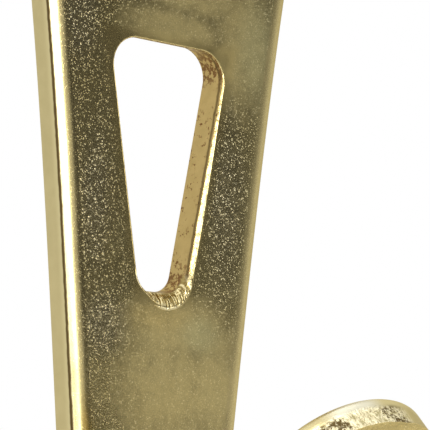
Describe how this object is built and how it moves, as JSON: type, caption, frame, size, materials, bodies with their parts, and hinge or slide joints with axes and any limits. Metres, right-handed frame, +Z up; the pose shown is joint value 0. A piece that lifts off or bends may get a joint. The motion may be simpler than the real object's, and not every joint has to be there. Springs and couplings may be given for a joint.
{
  "type": "picture hook",
  "caption": "Sheet-metal picture hook: a tapering plate with a triangular slot, a folded flap over slanting nail holes, and a curled hook with a round end.",
  "frame": {"origin": "on the plate's back face, on its centre line, at the level where the hook's curl begins", "axes": "+Z up the wall along the plate, +Y into the wall, +X across the plate to the right as seen from the room"},
  "size_m": [0.0272, 0.0175, 0.0488],
  "materials": {
    "brass_plate": "bright brass plating on blanked steel sheet"
  },
  "bodies": {
    "root": {"picture_hook": "brass_plate"}
  },
  "joints": []
}
